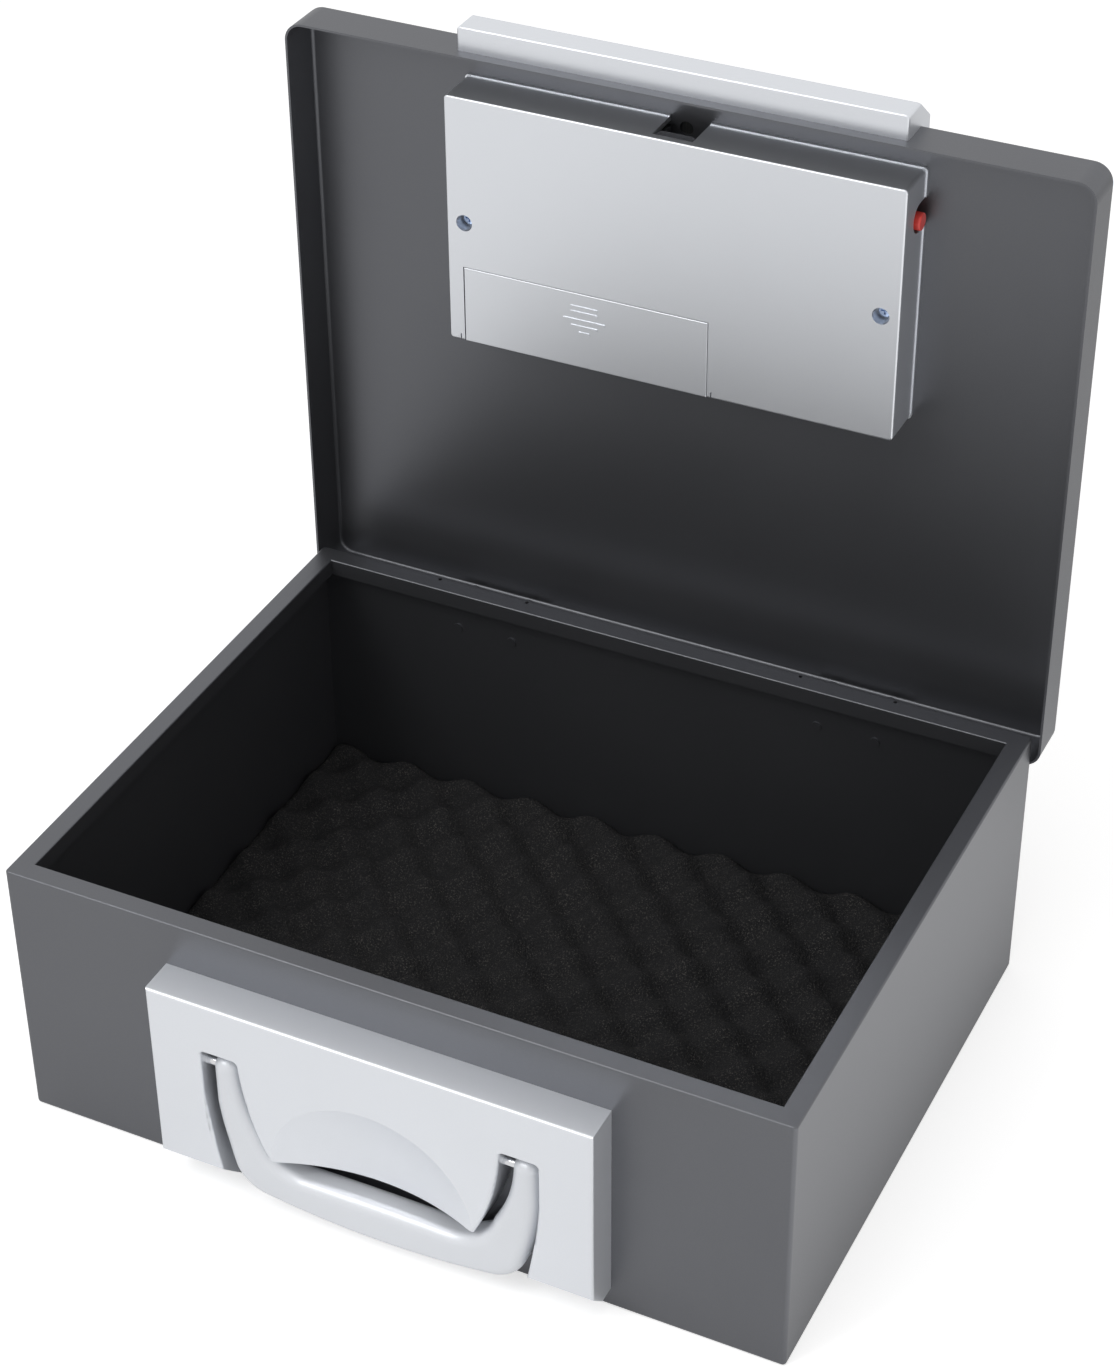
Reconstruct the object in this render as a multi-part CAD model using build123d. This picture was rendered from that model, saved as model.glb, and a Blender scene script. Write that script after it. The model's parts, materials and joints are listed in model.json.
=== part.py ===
from build123d import *
import os
from math import hypot

# Lockable document box. X is to the right, Y to the back, Z up; the origin is the middle of the
# underside. Lid pieces are drawn on the closed box and then swung open about the hinge line.

# How far a cutter reaches past the face it opens
over = 1.0

# Base tray
base_width = 352.0
base_depth = 268.0
base_height = 130.0
base_sheet = 1.2
base_corner = 1.8
rim_width = 9.2
rim_lip = 8.0
tooling_hole_radius = 0.9
tooling_hole_inset = 1.6

# Foam mat
mat_clear = 0.4
mat_valley = 9.0
mat_peak = 20.0
mat_pitch = 33.4
mat_bump_base = 11.2
mat_bump_top = 4.2

# Lid
lid_sheet = 1.0
lid_rest_gap = 0.1
lid_side_gap = 3.0
lid_front_gap = 2.2
lid_back_gap = 9.1
lid_corner = 8.5
lid_bend = 2.5
lid_stop_gap = 0.03

# Hinges
hinge_behind_wall = 7.4
hinge_below_rim = 13.4
hinge_spacing = 181.0
hinge_length = 45.0
knuckle_radius = 2.6
knuckle_gap = 0.4
hinge_pin_radius = 1.5
hinge_pin_fit = 0.05
leaf_sheet = 1.0
leaf_drop = 18.0
hinge_notch_clear = 1.2
rivet_radius = 1.5
rivet_head_radius = 2.7
rivet_head_height = 0.9
rivet_spread = 14.0
rivet_fit = 0.02
lid_rivet_lift = 1.0

# Handle panel
panel_width = 200.0
panel_bottom = 10.4
panel_top = 108.2
panel_depth = 17.0
panel_wall = 2.4
panel_edge = 1.3
panel_toe = 9.0
slot_top = 83.0
slot_half_width = 76.3
slot_bend_height = 60.0
slot_half_width_low = 68.6
slot_bow = 0.95
slot_corner = 2.2
tongue_half_width = 59.3
tongue_half_width_low = 46.9
tongue_bottom = 33.6
tongue_bow = 2.6
scoop_radius = 46.5
scoop_centre_height = 31.5
scoop_depth = 10.0
panel_screw_x = 88.0
panel_screw_heights = (30.0, 98.0)
panel_screw_length = 11.0
boss_radius = 4.0

# Carry handle
handle_shift = 1.2
arm_offset = 67.9
arm_width = 11.4
arm_depth = 10.2
arm_set_back = 1.3
arm_straight_bottom = 56.0
arm_bow = 0.9
heel_outer = (67.2, 24.5)
heel_bow = 3.3
grip_corner = (52.0, 10.4)
grip_bow = 4.1
grip_depth = 14.4
grip_set_back = 0.5
grip_top = 24.0
grip_top_bow = -0.4
grip_blend = 14.0
throat_top = 74.0
throat_knee = (53.0, 41.5)
throat_knee_bow = 2.0
throat_corner = (34.0, 26.0)
throat_corner_bow = 3.9
handle_edge = 4.9
pivot_height = 74.2
pivot_pin_radius = 2.0
pivot_pin_root = 4.6
pivot_pin_fit = 0.05

# Screws
screw_radius = 1.5
screw_head_radius = 3.1
screw_head_height = 2.0
screw_cross = 3.6
screw_fit = 0.1

# Lock housing inside the lid
housing_half_width = 103.6
housing_front_margin = 14.7
housing_length = 115.9
housing_height = 22.3
housing_wall = 2.2
housing_edge = 0.9
housing_lip = 0.5
housing_lip_sheet = 1.2
housing_seat_gap = 0.05
bolt_notch_half_width = 9.1
bolt_notch_from_face = 3.5
peep_hole_x = -2.0
peep_hole_from_front = 4.5
peep_hole_radius = 3.1
cover_screw_from_side = 8.3
cover_screw_from_front = 58.3
cover_screw_length = 9.0
screw_well_radius = 3.8
screw_well_depth = 7.0
screw_well_wall = 1.7

# Battery compartment
door_from_side = 7.6
door_width = 115.0
door_length = 36.0
door_sheet = 2.0
door_edge = 0.4
door_clear = 0.35
door_slit_width = 0.6
door_slit_length = 3.0
door_slit_offset = 2.2
arrow_bars = ((30.0, 12.4), (27.4, 12.4), (23.6, 19.6), (20.6, 12.4), (17.6, 5.0))
arrow_bar_height = 1.2
arrow_relief = 0.35
tray_wall = 1.6
tray_overlap = 0.6
tray_seat_gap = 0.1
tray_back_gap = 0.2
cell_radius = 7.1
cell_length = 49.5
cell_nub_radius = 2.7
cell_nub_length = 1.0
cell_edge = 0.5
cell_row_pitch = 15.2
cell_gap = 0.2
contact_sheet = 0.5
contact_half_width = 6.0
contact_gap = 0.1
contact_spring_radius = 4.0
lead_radius = 0.7
lead_bend = 3.0
lead_from_back = 12.0
lead_back_pitch = 5.0
lead_above_face = 9.0
lead_from_board_side = 6.0
lead_side_pitch = 4.0
lead_from_board_end = 8.0

# Lock works
chassis_sheet = 1.2
chassis_margin = 4.5
chassis_notch_length = 5.0
post_radius = 4.2
bolt_half_width = 8.25
bolt_sheet = 4.5
bolt_from_face = 4.8
bolt_nose_radius = 2.4
bolt_set_back = 0.8
bolt_length = 32.5
bolt_fit = 0.12
tail_short_of_lock = 8.0
tail_width = 5.6
tail_sheet = 3.0
tail_drop = 0.2
tab_height = 12.4
tab_sheet = 1.5
guide_sheet = 1.5
guide_length = 9.0
guide_from_nose = 3.0
coil_radius = 6.9
coil_length = 27.0
coil_gap = 0.1
coil_back_wall = 2.0
plunger_radius = 3.0
plunger_above_bolt = 0.25
plunger_neck_radius = 2.0
plunger_length = 28.0
plunger_head_length = 1.6
plunger_gap = 0.1
plunger_play = 0.15
frame_sheet = 1.5
frame_margin = 1.6
spring_radius = 5.0
spring_wall = 0.8
spring_length = 3.6
spring_gap = 0.05
strike_sheet = 1.5
strike_half_width = 18.0
strike_reach = 11.6
strike_above_bolt = 0.3

# Code reset button on the housing's right side
button_radius = 3.8
button_from_front = 20.6
button_from_lid = 6.7
button_cap_length = 9.2
button_stem_radius = 2.0
button_stem_length = 4.2
button_proud = 1.8
button_travel = 1.5
button_edge = 0.7
button_recess_radius = 6.5
button_recess_shift = 1.5
button_bracket_sheet = 1.2
button_bracket_half_width = 4.8
button_bracket_gap = 0.3

# Circuit board inside the lid
board_sheet = 1.6
board_width = 62.0
board_from_side = 15.6
board_from_front = 9.0
board_length = 46.0
board_lift = 1.1
board_post_radius = 2.5
board_post_inset = 4.0
switch_length = 6.0
switch_half_width = 4.0
switch_drop = 3.0
switch_gap = 0.15
chip_corner = (8.0, 8.0)
chip_size = (14.0, 12.0, 2.4)
relay_corner = (30.0, 26.0)
relay_size = (12.0, 8.0, 6.5)
capacitor_places = ((12.0, 31.0), (21.0, 31.0), (30.0, 14.0))
capacitor_radius = 3.2
capacitor_height = 8.0

# Ribbon between the two circuit boards
ribbon_from_board_left = 18.0
ribbon_from_front = 39.0
ribbon_width = 20.0
ribbon_sheet = 0.6
ribbon_clear = 1.0
ribbon_edge = 5.0

# Keypad console over the lid's front edge
console_from_housing_side = 3.6
console_nose = 10.8
console_nose_drop = 16.5
console_nose_height = 12.9
console_rise = 8.9
console_bevel_end = 0.7
console_bevel_shrink = 0.45
console_depth = 72.0
console_tail_slope = 4.0
console_wall = 2.2
console_edge = 0.9
console_corner = 1.8
console_groove_place = 0.27
console_groove_radius = 0.4
console_screw_from_side = 7.0
console_screws_from_front = (7.3, 41.3)
console_screw_length = 7.0
console_boss_radius = 3.6
bezel_from_lock = 16.0
bezel_from_side = 34.0
bezel_from_front = 15.0
bezel_length = 36.0
bezel_sheet = 2.2
bezel_clear = 0.2
bezel_lip = 1.6
bezel_lip_gap = 0.1
bezel_skirt = 1.2
bezel_skirt_wall = 1.4
key_columns = 6
key_field_left = 1.5
key_field_right = 9.5
key_width_share = 0.8
key_pitch_y = 16.5
key_length = 10.0
key_corner = 1.6
key_edge = 0.5
key_clear = 0.2
key_flange = 1.0
key_flange_sheet = 1.0
key_flange_drop = 0.2
key_proud = 1.2
key_names = ("1", "2", "3", "4", "5", "star", "6", "7", "8", "9", "0", "hash")
key_mat_inset = 3.0
key_mat_film = 1.4
dome_radius = 3.5
dome_top_radius = 2.45
dome_height = 1.1
led_radius = 1.5
led_pitch = 8.0
led_from_bezel_end = 6.5
led_proud = 0.6
led_fit = 0.1

# Emergency key lock
lock_from_side = 34.0
lock_from_front = 19.3
lock_body_radius = 6.0
lock_flange_radius = 8.0
lock_flange_sheet = 1.0
lock_length = 26.6
lock_plug_radius = 3.9
plug_fit = 0.05
lock_nut_radius = 8.5
lock_nut_height = 2.6
cam_sheet = 1.6
cam_reach = 12.0
cam_half_width = 4.0
cam_hub_radius = 5.0
cam_gap = 0.4
keyhole_width = 1.4
keyhole_length = 5.4
keyhole_depth = 12.0
flap_radius = 10.5
flap_sheet = 2.2
flap_arm = 16.0
flap_edge = 0.6
flap_pin_radius = 1.5
flap_pin_above_lid = 2.2
flap_lift = 0.15

# Planes and lines that follow from the sizes above
wall_front = -base_depth / 2
wall_back = base_depth / 2
hinge_y = wall_back + hinge_behind_wall
hinge_z = base_height - hinge_below_rim
hinge_places = (-hinge_spacing / 2, hinge_spacing / 2)
lid_inner = base_height + lid_rest_gap
lid_top = lid_inner + lid_sheet
lid_front = wall_front - lid_front_gap - lid_sheet
lid_back = wall_back + lid_back_gap + lid_sheet
lid_half_width = base_width / 2 + lid_side_gap + lid_sheet
lid_edge = hinge_z - hinge_behind_wall + lid_stop_gap
panel_front = wall_front - panel_depth
arm_y = panel_front + arm_set_back + arm_depth / 2
housing_front = wall_front + housing_front_margin
housing_back = housing_front + housing_length
housing_face = lid_inner - housing_height
housing_inner = housing_face + housing_wall
chassis_face = lid_inner - chassis_sheet
cover_screw_x = housing_half_width - cover_screw_from_side
door_left = -housing_half_width + door_from_side
door_right = door_left + door_width
door_middle = (door_left + door_right) / 2
board_right = housing_half_width - board_from_side
board_left = board_right - board_width
console_half_width = housing_half_width - console_from_housing_side
console_screw_x = console_half_width - console_screw_from_side
lock_x = -console_half_width + lock_from_side
bezel_left = lock_x + bezel_from_lock
bezel_right = console_half_width - bezel_from_side
key_pitch_x = (bezel_right - bezel_left - key_field_left - key_field_right) / key_columns
key_width = key_width_share * key_pitch_x
console_front = lid_front - console_nose
console_top = lid_top + console_rise
console_back = console_front + console_nose + console_depth
bezel_front = console_front + bezel_from_front + console_nose
bezel_back = bezel_front + bezel_length
key_board_top = lid_top + board_sheet
bolt_nose = housing_front + bolt_set_back
bolt_tail = bolt_nose + bolt_length
bolt_low = housing_face + bolt_from_face
bolt_high = bolt_low + bolt_sheet
plunger_z = bolt_high + plunger_above_bolt + plunger_radius
lock_y = housing_front + lock_from_front
cam_high = console_top - lock_length - cam_gap
cam_low = cam_high - cam_sheet


def block(x0, x1, y0, y1, z0, z1):
    """A box between two corners."""
    middle = Pos((x0 + x1) / 2, (y0 + y1) / 2, (z0 + z1) / 2)
    return middle * Box(x1 - x0, y1 - y0, z1 - z0)


def rod(start, direction, radius, length):
    """A round bar from start along direction."""
    bar = Cylinder(radius, length, align=(Align.CENTER, Align.CENTER, Align.MIN))
    return Plane(origin=start, z_dir=direction).location * bar


def hole(start, direction, radius, depth):
    """A round cutter through a wall that starts at start and is depth thick along direction."""
    cutter = Cylinder(radius, depth + 2 * over, align=(Align.CENTER, Align.CENTER, Align.MIN))
    return Plane(origin=start, z_dir=direction).location * Pos(0, 0, -over) * cutter


def bowed(start, end, bow):
    """An arc whose middle stands off its chord by bow, to the left of the way it runs."""
    run_x = end[0] - start[0]
    run_z = end[1] - start[1]
    chord = hypot(run_x, run_z)
    middle_x = (start[0] + end[0]) / 2 - bow * run_z / chord
    middle_z = (start[1] + end[1]) / 2 + bow * run_x / chord
    return ThreePointArc(start, (middle_x, middle_z), end)


def screw(seat, direction, length):
    """A pan head screw whose head rests on seat and whose shank runs along direction."""
    head = Cylinder(screw_head_radius, screw_head_height, align=(Align.CENTER, Align.CENTER, Align.MAX))
    head = fillet(head.edges().filter_by(GeomType.CIRCLE).sort_by(Axis.Z)[0], screw_head_height / 3)
    depth = screw_head_height / 2
    slot = Box(screw_cross, screw_cross / 5, depth) + Box(screw_cross / 5, screw_cross, depth)
    head -= Pos(0, 0, depth / 2 - screw_head_height) * slot
    shank = Cylinder(screw_radius, length, align=(Align.CENTER, Align.CENTER, Align.MIN))
    return Plane(origin=seat, z_dir=direction).location * (head + shank)


def rivet(seat, direction, grip):
    """A rivet through a stack of sheets: domed head on seat, small tail beyond the stack."""
    head = Cylinder(rivet_head_radius, rivet_head_height, align=(Align.CENTER, Align.CENTER, Align.MAX))
    head = fillet(head.edges().filter_by(GeomType.CIRCLE).sort_by(Axis.Z)[0], rivet_head_height * 0.8)
    shank = Cylinder(rivet_radius, grip, align=(Align.CENTER, Align.CENTER, Align.MIN))
    tail = Pos(0, 0, grip) * Cylinder(
        rivet_head_radius * 0.85, rivet_head_height * 0.7, align=(Align.CENTER, Align.CENTER, Align.MIN)
    )
    return Plane(origin=seat, z_dir=direction).location * (head + shank + tail)


def swung_open(shape):
    """Closed lid piece to the open lid, a quarter turn back about the hinge line."""
    return Pos(0, hinge_y, hinge_z) * Rot(-90, 0, 0) * Pos(0, -hinge_y, -hinge_z) * shape


def save(name, *pieces):
    """One node, from one solid or a group of separate solids."""
    solids = [solid for piece in pieces for solid in piece.solids()]
    whole = solids[0] if len(solids) == 1 else Compound(solids)
    export_step(whole, f"parts/{name}.step")


def save_lid(name, *pieces):
    """One node of the lid, drawn closed and saved open."""
    save(name, *[swung_open(piece) for piece in pieces])


# Base tray: folded box, rim turned in, lip turned down


def make_base_shell():
    half_x = base_width / 2
    tray = block(-half_x, half_x, wall_front, wall_back, 0, base_height)
    tray = fillet(tray.edges().filter_by(Axis.Z), base_corner)
    tray = fillet(tray.faces().sort_by(Axis.Z)[0].edges(), base_corner)
    tray = fillet(tray.faces().sort_by(Axis.Z)[-1].edges(), base_corner / 2)
    inner_x = half_x - base_sheet
    inner_y = wall_back - base_sheet
    tray -= block(-inner_x, inner_x, -inner_y, inner_y, base_sheet, base_height - base_sheet)
    mouth_x = half_x - rim_width
    mouth_y = wall_back - rim_width
    lip_low = base_height - rim_lip
    lip_x = mouth_x + base_sheet
    lip_y = mouth_y + base_sheet
    tray += block(-lip_x, lip_x, -lip_y, lip_y, lip_low, base_height - base_sheet)
    tray -= block(-mouth_x, mouth_x, -mouth_y, mouth_y, lip_low - over, base_height + over)
    inner_edges = [
        edge
        for edge in tray.edges().filter_by(lambda e: abs(e.center().Z - base_height) < 0.01)
        if abs(edge.center().X) < mouth_x + 0.1 and abs(edge.center().Y) < mouth_y + 0.1
    ]
    tray = fillet(inner_edges, base_sheet / 2)
    under_rim = base_height - base_sheet
    for place in hinge_places:
        for side in (-1, 1):
            spot = (place + side * hinge_length / 2, wall_back - tooling_hole_inset, under_rim)
            tray -= hole(spot, (0, 0, 1), tooling_hole_radius, base_sheet)
    for x, z in base_rivet_spots():
        tray -= hole((x, wall_back - base_sheet, z), (0, 1, 0), rivet_radius + rivet_fit, base_sheet)
    for x, z in panel_screw_spots():
        tray -= hole((x, wall_front, z), (0, 1, 0), screw_radius + screw_fit, base_sheet)
    return tray


def base_rivet_spots():
    low = hinge_z - knuckle_radius - leaf_drop / 2
    return [(place + side * rivet_spread, low) for place in hinge_places for side in (-1, 1)]


def lid_rivet_spots():
    high = (hinge_z + knuckle_radius + lid_inner) / 2 + lid_rivet_lift
    return [(place + side * rivet_spread, high) for place in hinge_places for side in (-1, 1)]


def panel_screw_spots():
    return [(side * panel_screw_x, z) for side in (-1, 1) for z in panel_screw_heights]


def make_floor_mat():
    half_x = base_width / 2 - base_sheet - mat_clear
    half_y = base_depth / 2 - base_sheet - mat_clear
    slab = block(-half_x, half_x, -half_y, half_y, base_sheet, base_sheet + mat_valley)
    slab = fillet(slab.edges().filter_by(Axis.Z), 3 * base_corner)
    rise = mat_peak - mat_valley
    cone = Cone(mat_bump_base, mat_bump_top, rise, align=(Align.CENTER, Align.CENTER, Align.MIN))
    step = mat_pitch / 2
    columns = int((half_x - mat_bump_base) / step)
    rows = int((half_y - mat_bump_base) / step)
    bumps = [
        Pos(i * step, j * step, base_sheet + mat_valley) * cone
        for i in range(-columns, columns + 1)
        for j in range(-rows, rows + 1)
        if (i + j) % 2 == 0
    ]
    return slab.fuse(*bumps)


def make_strike_bracket():
    low = bolt_high + strike_above_bolt
    back = wall_front + base_sheet
    shelf = block(-strike_half_width, strike_half_width, back, back + strike_reach, low, low + strike_sheet)
    upright = block(
        -strike_half_width, strike_half_width, back, back + strike_sheet, low, base_height - base_sheet
    )
    return shelf + upright


# Hinges: a leaf on the rear wall, a leaf inside the lid's back flange, three knuckles and a pin


def knuckle_spans():
    """Start and end of the three knuckles, measured from the hinge's left end."""
    third = hinge_length / 3
    return [
        (0, third - knuckle_gap / 2),
        (third + knuckle_gap / 2, 2 * third - knuckle_gap / 2),
        (2 * third + knuckle_gap / 2, hinge_length),
    ]


def make_base_leaf(place):
    left = place - hinge_length / 2
    right = place + hinge_length / 2
    top = hinge_z - knuckle_radius + leaf_sheet
    leaf = block(left, right, wall_back, wall_back + leaf_sheet, top - leaf_drop, top)
    for start, end in (knuckle_spans()[0], knuckle_spans()[2]):
        leaf += block(left + start, left + end, wall_back, hinge_y, top - leaf_sheet, top)
        leaf += rod((left + start, hinge_y, hinge_z), (1, 0, 0), knuckle_radius, end - start)
    leaf -= hole((left, hinge_y, hinge_z), (1, 0, 0), hinge_pin_radius, hinge_length)
    for x, z in base_rivet_spots():
        leaf -= hole((x, wall_back, z), (0, 1, 0), rivet_radius + rivet_fit, leaf_sheet)
    return leaf


def make_lid_leaf(place):
    left = place - hinge_length / 2
    right = place + hinge_length / 2
    back = lid_back - lid_sheet
    swing = knuckle_radius + knuckle_gap
    leaf = block(left, right, back - leaf_sheet, back, hinge_z + swing, lid_inner - lid_bend)
    start, end = knuckle_spans()[1]
    leaf += block(left + start, left + end, back - leaf_sheet, back, hinge_z, hinge_z + swing)
    leaf += rod((left + start, hinge_y, hinge_z), (1, 0, 0), knuckle_radius, end - start)
    leaf -= hole((left, hinge_y, hinge_z), (1, 0, 0), hinge_pin_radius + hinge_pin_fit, hinge_length)
    for x, z in lid_rivet_spots():
        leaf -= hole((x, back - leaf_sheet, z), (0, 1, 0), rivet_radius + rivet_fit, leaf_sheet)
    return leaf


def make_hinge_pin(place):
    return rod((place - hinge_length / 2, hinge_y, hinge_z), (1, 0, 0), hinge_pin_radius, hinge_length)


# Handle panel: a shell with an inverted U, the tongue in the middle has the finger scoop


def panel_outline():
    """Front view of the panel, with the slot open at the bottom."""
    half = panel_width / 2
    low = panel_bottom
    right = (
        Line((half, panel_top), (half, low))
        + Line((half, low), (slot_half_width_low, low))
        + bowed((slot_half_width_low, low), (slot_half_width, slot_bend_height), -slot_bow)
        + Line((slot_half_width, slot_bend_height), (slot_half_width, slot_top))
        + Line((slot_half_width, slot_top), (tongue_half_width, slot_top))
        + bowed((tongue_half_width, slot_top), (tongue_half_width_low, tongue_bottom), tongue_bow)
    )
    left = mirror(right, Plane.YZ)
    top = Line((-half, panel_top), (half, panel_top))
    tongue_end = Line((-tongue_half_width_low, tongue_bottom), (tongue_half_width_low, tongue_bottom))
    outline = make_face(right + left + top + tongue_end)
    slot_corners = [vertex for vertex in outline.vertices() if abs(vertex.Y - slot_top) < 0.01]
    return fillet(slot_corners, slot_corner)


def scoop_ball(extra):
    """The ball that hollows the tongue, larger by extra."""
    ball_radius = (scoop_radius**2 + scoop_depth**2) / (2 * scoop_depth)
    centre_y = panel_front + scoop_depth - ball_radius
    return Pos(0, centre_y, scoop_centre_height) * Sphere(ball_radius + extra)


def make_handle_panel():
    back = Plane(origin=(0, wall_front, 0), x_dir=(1, 0, 0), z_dir=(0, -1, 0))
    outline = panel_outline()
    panel = extrude(back * outline, panel_depth)
    toes = [
        edge
        for edge in panel.edges()
        if abs(edge.center().Y - panel_front) < 0.01 and abs(edge.center().Z - panel_bottom) < 0.01
    ]
    panel = chamfer(toes, panel_toe)
    front_edges = [
        edge
        for edge in panel.edges()
        if abs(edge.center().Y - panel_front) < 0.01 and edge.center().Z > panel_bottom + 1.1 * panel_toe
    ]
    panel = fillet(front_edges, panel_edge)
    pocket = extrude(back * offset(outline, -panel_wall), panel_depth - panel_wall)
    keep_top = panel_bottom + panel_toe + panel_wall / 2
    keep = block(-panel_width, panel_width, panel_front, panel_front + panel_toe, 0, keep_top)
    pocket -= keep
    pocket -= scoop_ball(panel_wall)
    panel -= pocket
    panel -= scoop_ball(0)
    for x, z in panel_screw_spots():
        boss = rod((x, wall_front, z), (0, -1, 0), boss_radius, panel_depth - panel_wall)
        panel += boss
        panel -= rod((x, wall_front, z), (0, -1, 0), screw_radius, panel_depth - 2 * panel_wall)
    for side in (-1, 1):
        start, length = pivot_pin_span(side)
        panel -= rod((start, arm_y, pivot_height), (1, 0, 0), pivot_pin_radius, length)
    return panel


def pivot_pin_span(side):
    """Left end and length of the pin on one side, through the tongue's wall and the leg's wall."""
    inner = tongue_half_width - pivot_pin_root
    length = slot_half_width + panel_wall / 2 - inner
    start = inner if side > 0 else -inner - length
    return start, length


def make_pivot_pin(side):
    start, length = pivot_pin_span(side)
    return rod((start, arm_y, pivot_height), (1, 0, 0), pivot_pin_radius, length)


# Carry handle: a strap bent into a U, thin in the arms and deep in the grip, all edges round


def handle_outline():
    """Front view of the handle."""
    top = pivot_height + arm_depth / 2
    inner = arm_offset - arm_width / 2
    outer = arm_offset + arm_width / 2
    right = (
        Line((inner, top), (outer, top))
        + Line((outer, top), (outer, arm_straight_bottom))
        + bowed((outer, arm_straight_bottom), heel_outer, arm_bow)
        + bowed(heel_outer, grip_corner, heel_bow)
        + Line((inner, top), (inner, throat_top))
        + bowed((inner, throat_top), throat_knee, throat_knee_bow)
        + bowed(throat_knee, throat_corner, throat_corner_bow)
    )
    left = mirror(right, Plane.YZ)
    underside = bowed(grip_corner, (-grip_corner[0], grip_corner[1]), grip_bow)
    throat = bowed(throat_corner, (-throat_corner[0], throat_corner[1]), grip_top_bow)
    return make_face(right + left + underside + throat)


def handle_side():
    """Side view (y, z) of the handle: the arms end in a half round about the pivot."""
    grip_front = panel_front + grip_set_back
    grip_back = grip_front + grip_depth
    arm_front = arm_y - arm_depth / 2
    arm_back = arm_y + arm_depth / 2
    arm_low = grip_top + grip_blend
    outline = (
        Line((grip_front, 0), (grip_front, grip_top))
        + Spline((grip_front, grip_top), (arm_front, arm_low), tangents=((0, 1), (0, 1)))
        + Line((arm_front, arm_low), (arm_front, pivot_height))
        + bowed((arm_front, pivot_height), (arm_back, pivot_height), arm_depth / 2)
        + Line((arm_back, pivot_height), (arm_back, arm_low))
        + Spline((arm_back, arm_low), (grip_back, grip_top), tangents=((0, -1), (0, -1)))
        + Line((grip_back, grip_top), (grip_back, 0))
        + Line((grip_back, 0), (grip_front, 0))
    )
    return make_face(outline)


def make_carry_handle():
    grip_back = panel_front + grip_set_back + grip_depth
    front_view = Plane(origin=(0, grip_back, 0), x_dir=(1, 0, 0), z_dir=(0, -1, 0))
    side_view = Plane(origin=(-panel_width / 2, 0, 0), x_dir=(0, 1, 0), z_dir=(1, 0, 0))
    handle = extrude(front_view * handle_outline(), grip_depth)
    handle &= extrude(side_view * handle_side(), panel_width)
    handle = fillet(handle.edges(), handle_edge)
    bore_radius = pivot_pin_radius + pivot_pin_fit
    handle -= rod((-panel_width / 2, arm_y, pivot_height), (1, 0, 0), bore_radius, panel_width)
    return Pos(handle_shift, 0, 0) * handle


# Lid: folded tray with rounded corners, its back flange cut away round the hinges


def make_lid_shell():
    half = lid_half_width
    lid = block(-half, half, lid_front, lid_back, lid_edge, lid_top)
    lid = fillet(lid.edges().filter_by(Axis.Z), lid_corner)
    lid = fillet(lid.faces().sort_by(Axis.Z)[-1].edges(), lid_bend)
    s = lid_sheet
    hollow = block(-half + s, half - s, lid_front + s, lid_back - s, lid_edge, lid_inner)
    hollow = fillet(hollow.edges().filter_by(Axis.Z), lid_corner - s)
    hollow = fillet(hollow.faces().sort_by(Axis.Z)[-1].edges(), lid_bend - s)
    lid -= hollow
    for place in hinge_places:
        reach = hinge_length / 2 + hinge_notch_clear
        notch_top = hinge_z + knuckle_radius + hinge_notch_clear
        lid -= block(place - reach, place + reach, lid_back - 2 * s, lid_back + s, lid_edge - over, notch_top)
    for x, z in lid_rivet_spots():
        lid -= hole((x, lid_back - s, z), (0, 1, 0), rivet_radius + rivet_fit, s)
    for x, y in console_screw_spots():
        lid -= hole((x, y, lid_inner), (0, 0, 1), screw_radius + screw_fit, s)
    lid -= hole((lock_x, lock_y, lid_inner), (0, 0, 1), lock_body_radius + screw_fit, s)
    peep_hole = (peep_hole_x, housing_front + peep_hole_from_front, lid_inner)
    lid -= hole(peep_hole, (0, 0, 1), peep_hole_radius, s)
    return lid - ribbon_slot(lid_inner - over, lid_top + over)


def console_screw_spots():
    rows = [housing_front + y for y in console_screws_from_front]
    return [(side * console_screw_x, y) for side in (-1, 1) for y in rows]


def ribbon_place():
    return board_left + ribbon_from_board_left, housing_front + ribbon_from_front


def ribbon_slot(low, high):
    x, y = ribbon_place()
    half = ribbon_width / 2 + ribbon_clear
    return block(x - half, x + half, y - ribbon_clear, y + ribbon_clear, low, high)


# Keypad console: a nose in front of the lid's front flange, a bevel, and a flat top with the keys


def console_profile(inset):
    """Side view (y, z) of the console, smaller by inset but reaching into the lid."""
    nose_low = lid_top - console_nose_drop
    nose_high = nose_low + console_nose_height
    bevel_y = lid_front - console_bevel_end
    low = nose_low + inset
    front = console_front + inset
    top = console_top - inset
    tail = console_back - inset
    corner = inset * console_bevel_shrink
    return [
        (lid_front + lid_sheet, low),
        (front, low),
        (front, nose_high - corner),
        (bevel_y + corner, top),
        (tail - console_tail_slope, top),
        (tail, lid_top - lid_sheet),
        (lid_front + lid_sheet, lid_top - lid_sheet),
    ]


def console_slab(inset, half_width):
    side = Plane(origin=(-half_width, 0, 0), x_dir=(0, 1, 0), z_dir=(1, 0, 0))
    return extrude(side * make_face(Polyline(*console_profile(inset), close=True)), 2 * half_width)


def console_groove():
    """The cutter for the line along the console's bevel, just behind its front edge."""
    low_y, low_z = console_profile(0)[2]
    high_y, high_z = console_profile(0)[3]
    groove_y = low_y + console_groove_place * (high_y - low_y)
    groove_z = low_z + console_groove_place * (high_z - low_z)
    start = (-console_half_width, groove_y, groove_z)
    return hole(start, (1, 0, 0), console_groove_radius, 2 * console_half_width)


def lid_block():
    """The closed lid's outside as a solid, to sit the console on."""
    outside = block(-lid_half_width, lid_half_width, lid_front, lid_back, lid_edge, lid_top)
    front_edges = outside.edges().filter_by(Axis.X).sort_by(Axis.Y)[:2]
    return fillet(front_edges.sort_by(Axis.Z)[-1], lid_bend)


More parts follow.
